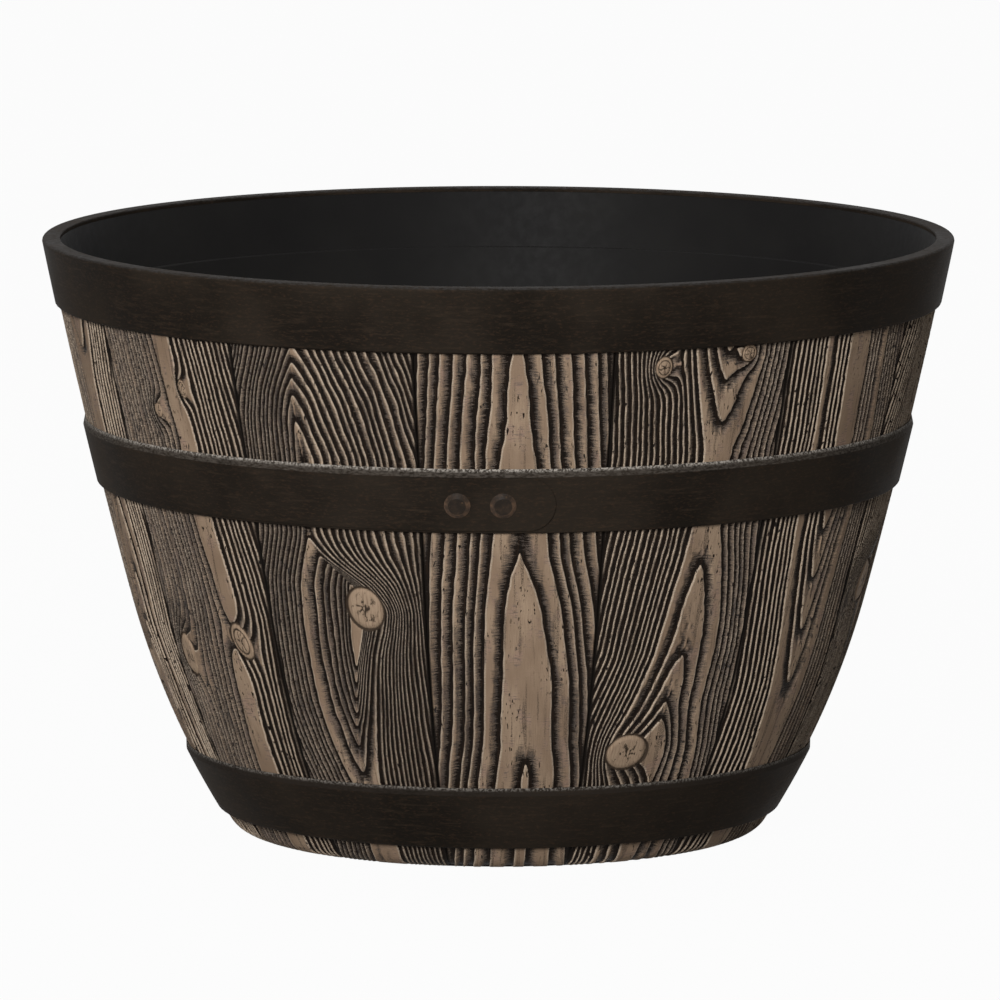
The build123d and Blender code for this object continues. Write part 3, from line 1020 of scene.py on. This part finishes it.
plugFinish = {
    "dark": colour(20, 20, 21),
    "light": colour(32, 32, 33),
    "roughness": (0.6, 0.68),
    "grain": (evenly, 500.0, 3.0, 0.6),
}


def plasticMaterial(name, own):
    material, tree, shader = newMaterial(name)
    finish = plasticFinish
    place = objectPlace(tree)
    cloud = grainNoise(tree, place, *finish["cloudNoise"])
    dust = grainNoise(tree, place, *finish["dustNoise"])
    face = mixColours(tree, rangeMask(tree, cloud, *finish["lightMask"]), own["dark"], own["light"])
    face = mixColours(tree, rangeMask(tree, dust, *finish["dustMask"]), face, finish["dust"])
    roughness = rangeMask(tree, dust, *finish["roughMask"], *own["roughness"])
    dressShader(tree, shader, face, roughness, finish["shine"])
    surfaceBump(tree, shader, grainNoise(tree, place, *own["grain"]), *finish["bump"])
    return material


# Bottom boards: plain brown boards with streaks along them

boardFinish = {
    "dark": colour(48, 38, 30),
    "light": colour(104, 86, 70),
    "streak": ((1.0, 0.06, 1.0), 260.0, 4.0, 0.6),
    "lightMask": (0.42, 0.6),
    "roughness": (0.3, 0.7, 0.55, 0.7),
    "shine": 0.5,
    "bump": (0.5, 0.0006),
}


def boardMaterial():
    material, tree, shader = newMaterial("bottomBoardResin")
    finish = boardFinish
    streak = grainNoise(tree, objectPlace(tree), *finish["streak"])
    light = rangeMask(tree, streak, *finish["lightMask"])
    face = mixColours(tree, light, finish["dark"], finish["light"])
    roughness = rangeMask(tree, streak, *finish["roughness"])
    dressShader(tree, shader, face, roughness, finish["shine"])
    surfaceBump(tree, shader, streak, *finish["bump"])
    return material


boardCount = 5
plugCount = 3


def paintNode(name, material):
    node = nodes[name]
    if not node.material_slots:
        node.data.materials.append(material)
    for slot in node.material_slots:
        slot.material = material


def dressFrame():
    rivets = rivetMaterial()
    for name, edge in hoopEdges.items():
        paintNode(name, strapMaterial(name + "_finish", *edge))
        paintNode(name + "_rivets", rivets)
    paintNode("liner_tub", plasticMaterial("tubPlastic", tubFinish))
    boards = boardMaterial()
    for number in range(1, boardCount + 1):
        paintNode(f"head_board_{number}", boards)
    rubber = plasticMaterial("plugRubber", plugFinish)
    for number in range(1, plugCount + 1):
        paintNode(f"drain_plug_{number}", rubber)


dressFrame()
print("frame painted")

plankFinish = plankMaterial()
for number in range(barrel["plankCount"]):
    plank = carvePlank(number)
    plank.data.materials.append(plankFinish)
    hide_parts(f"stave_{number + 1:02d}")
    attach(plank, "barrel")
print("planks carved")


# Floor, light and camera

studio = {
    "floorSize": 14.0,
    "floorGrey": 0.35,
    "whiteShare": 0.965,
    "ambient": 0.06,
    "cameraPlace": (0.0, -5.710, 0.989),
    "cameraTarget": (0.0, 0.0, 0.1875),
    "lens": 363.1,
    "sensorWidth": 36.0,
    "sideShift": 0.0017,
    "farthestView": 60.0,
}

lamps = {
    "keyLamp": {
        "place": (-0.9, -4.0, 1.8),
        "target": (0.0, 0.0, 0.17),
        "size": 1.4,
        "power": 168.0,
    },
    "topLamp": {
        "place": (-0.4, 0.1, 2.6),
        "target": (0.0, 0.0, 0.2),
        "size": 1.6,
        "power": 16.0,
    },
}


def whiteRays(tree):
    # Camera, mirror and glass rays see the plain white backdrop
    paths = tree.nodes.new("ShaderNodeLightPath")
    seen = calculate(tree, "MAXIMUM", paths.outputs["Is Camera Ray"], paths.outputs["Is Glossy Ray"])
    return calculate(tree, "MAXIMUM", seen, paths.outputs["Is Transmission Ray"])


def backdrop(tree, outputKind, plain, white, whiteShare):
    # The plain shader lights the scene, and the white one is what the camera sees
    output = tree.nodes.new(outputKind)
    blend = tree.nodes.new("ShaderNodeMixShader")
    feed(tree, blend.inputs[0], whiteShare)
    tree.links.new(plain.outputs[0], blend.inputs[1])
    tree.links.new(white.outputs[0], blend.inputs[2])
    tree.links.new(blend.outputs[0], output.inputs["Surface"])


def makeFloor():
    bpy.ops.mesh.primitive_plane_add(size=studio["floorSize"], location=(0, 0, 0))
    floor = bpy.context.object
    floor.name = "studioFloor"
    floor.select_set(False)
    material = bpy.data.materials.new("paleFloor")
    material.use_nodes = True
    tree = material.node_tree
    tree.nodes.clear()
    matte = tree.nodes.new("ShaderNodeBsdfDiffuse")
    grey = studio["floorGrey"]
    matte.inputs["Color"].default_value = (grey, grey, grey, 1)
    white = tree.nodes.new("ShaderNodeEmission")
    white.inputs["Color"].default_value = (1, 1, 1, 1)
    whiteShare = multiply(tree, whiteRays(tree), studio["whiteShare"])
    backdrop(tree, "ShaderNodeOutputMaterial", matte, white, whiteShare)
    floor.data.materials.append(material)


def makeWorld():
    world = bpy.data.worlds.new("studioWorld")
    bpy.context.scene.world = world
    world.use_nodes = True
    tree = world.node_tree
    tree.nodes.clear()
    soft = tree.nodes.new("ShaderNodeBackground")
    soft.inputs["Color"].default_value = (1, 1, 1, 1)
    soft.inputs["Strength"].default_value = studio["ambient"]
    white = tree.nodes.new("ShaderNodeBackground")
    white.inputs["Color"].default_value = (1, 1, 1, 1)
    white.inputs["Strength"].default_value = 1.0
    backdrop(tree, "ShaderNodeOutputWorld", soft, white, whiteRays(tree))


def aimAt(thing, place, target):
    thing.location = place
    direction = Vector(target) - Vector(place)
    thing.rotation_euler = direction.to_track_quat("-Z", "Y").to_euler()


def addLamp(name, settings):
    lamp = bpy.data.lights.new(name, "AREA")
    lamp.size = settings["size"]
    lamp.energy = settings["power"]
    holder = bpy.data.objects.new(name, lamp)
    bpy.context.scene.collection.objects.link(holder)
    aimAt(holder, settings["place"], settings["target"])


def makeCamera():
    lens = bpy.data.cameras.new("photoCamera")
    lens.lens = studio["lens"]
    lens.sensor_width = studio["sensorWidth"]
    lens.shift_x = studio["sideShift"]
    lens.clip_end = studio["farthestView"]
    holder = bpy.data.objects.new("photoCamera", lens)
    bpy.context.scene.collection.objects.link(holder)
    aimAt(holder, studio["cameraPlace"], studio["cameraTarget"])
    bpy.context.scene.camera = holder


makeFloor()
makeWorld()
for name, settings in lamps.items():
    addLamp(name, settings)
makeCamera()
bpy.context.scene.view_settings.view_transform = "Standard"
print("floor, light and camera set")
